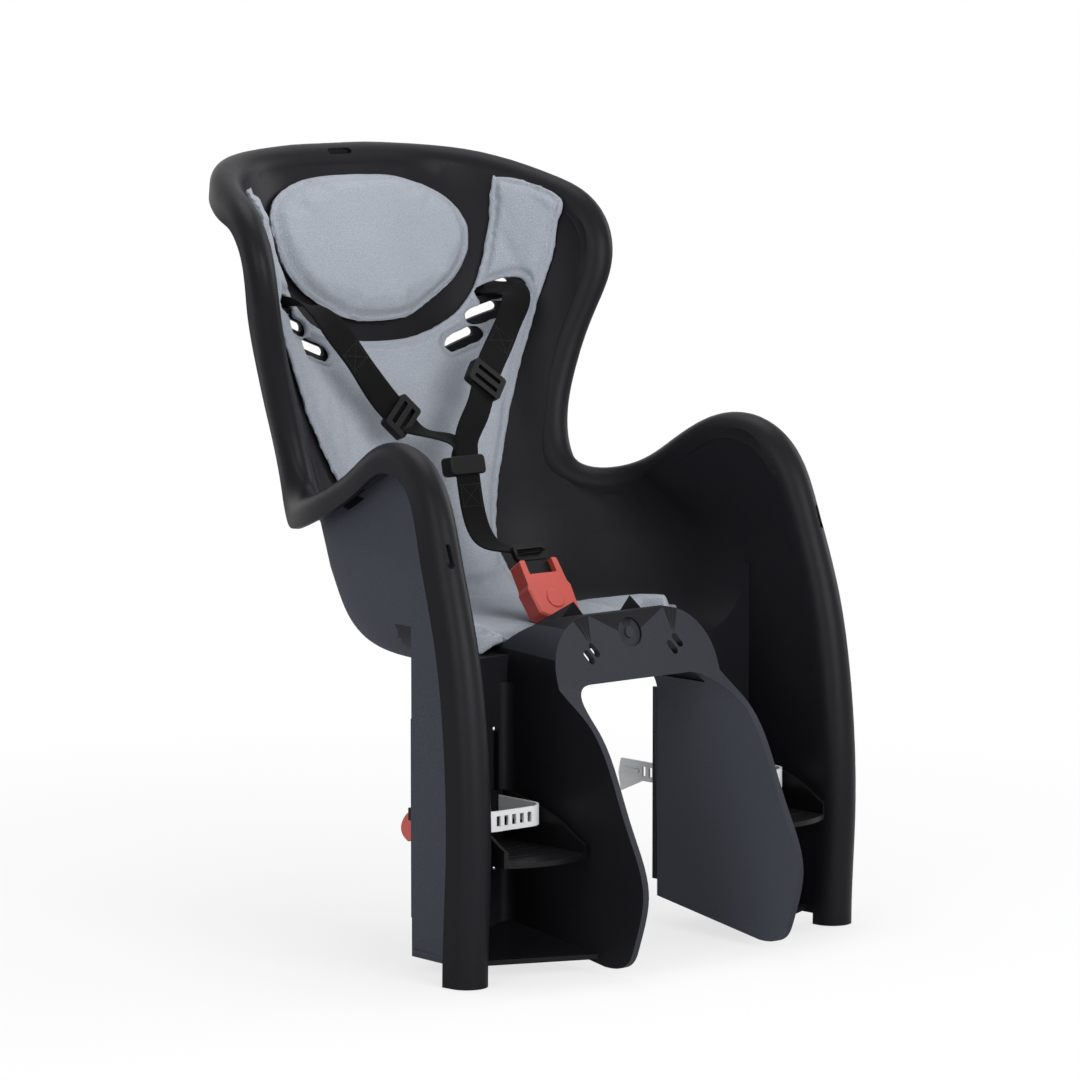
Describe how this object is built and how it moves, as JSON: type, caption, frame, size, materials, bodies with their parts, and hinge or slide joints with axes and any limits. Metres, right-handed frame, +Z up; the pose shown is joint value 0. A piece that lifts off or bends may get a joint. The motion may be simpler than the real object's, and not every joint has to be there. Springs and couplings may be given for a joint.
{
  "type": "child bike seat",
  "caption": "Moulded child carrier for a bicycle with a rolled rim, tall leg guards, sliding footrests, foam pads and a buckled webbing harness.",
  "frame": {"origin": "centre of the bolt pattern on the lower face of the mounting plate", "axes": "+Z up, the seat faces -Y, +X is the viewer's right, x = 0 is the mirror plane"},
  "size_m": [0.4274, 0.5016, 0.6283],
  "materials": {
    "shell_plastic": "fine moulded texture, satin inside",
    "pad_foam": "soft grained foam with a pressed rim",
    "webbing": "woven",
    "black_plastic": "satin",
    "red_plastic": "semi-gloss",
    "strap_plastic": "soft, light grey",
    "steel": "zinc plated"
  },
  "bodies": {
    "seat": {"seat_shell": "shell_plastic", "back_pad": "pad_foam", "headrest_pad": "pad_foam", "shoulder_strap": "webbing", "lower_strap": "webbing", "crotch_strap": "webbing", "right_adjuster": "black_plastic", "left_adjuster": "black_plastic", "strap_joiner": "black_plastic", "buckle_body": "red_plastic", "buckle_tongue": "black_plastic", "mount_plate": "steel", "plate_screws": "steel"},
    "button": {"buckle_button": "red_plastic"},
    "right_rest": {"right_footrest": "black_plastic", "right_slider": "black_plastic", "right_slider_screws": "steel", "right_latch_pin": "steel", "right_catch_pin": "steel", "right_foot_strap": "strap_plastic", "right_strap_rivet": "steel"},
    "right_latch_lever": {"right_latch": "red_plastic"},
    "right_catch_lever": {"right_catch": "red_plastic"},
    "left_rest": {"left_footrest": "black_plastic", "left_slider": "black_plastic", "left_slider_screws": "steel", "left_latch_pin": "steel", "left_catch_pin": "steel", "left_foot_strap": "strap_plastic", "left_strap_rivet": "steel"},
    "left_latch_lever": {"left_latch": "red_plastic"},
    "left_catch_lever": {"left_catch": "red_plastic"}
  },
  "joints": [
    {"name": "buckle_press", "type": "slide", "parent": "seat", "child": "button", "axis": [0, 0.8261, -0.5635], "range_m": [0, 0.0025], "stiffness_N_per_m": 300},
    {"name": "right_rest_height", "type": "slide", "parent": "seat", "child": "right_rest", "axis": [0, 0, 1], "range_m": [-0.04, 0.05]},
    {"name": "right_latch_lift", "type": "hinge", "parent": "right_rest", "child": "right_latch_lever", "pos_m": [0.1605, -0.0724, -0.113], "axis": [1, 0, 0], "range_deg": [0, 25], "stiffness_Nm_per_rad": 0.05},
    {"name": "right_catch_turn", "type": "hinge", "parent": "right_rest", "child": "right_catch_lever", "pos_m": [0.1116, -0.0729, -0.102], "axis": [0, 0, 1], "range_deg": [-20, 0], "stiffness_Nm_per_rad": 0.03},
    {"name": "left_rest_height", "type": "slide", "parent": "seat", "child": "left_rest", "axis": [0, 0, 1], "range_m": [-0.04, 0.05]},
    {"name": "left_latch_lift", "type": "hinge", "parent": "left_rest", "child": "left_latch_lever", "pos_m": [-0.1605, -0.0724, -0.113], "axis": [1, 0, 0], "range_deg": [0, 25], "stiffness_Nm_per_rad": 0.05},
    {"name": "left_catch_turn", "type": "hinge", "parent": "left_rest", "child": "left_catch_lever", "pos_m": [-0.1116, -0.0729, -0.102], "axis": [0, 0, 1], "range_deg": [0, 20], "stiffness_Nm_per_rad": 0.03}
  ]
}
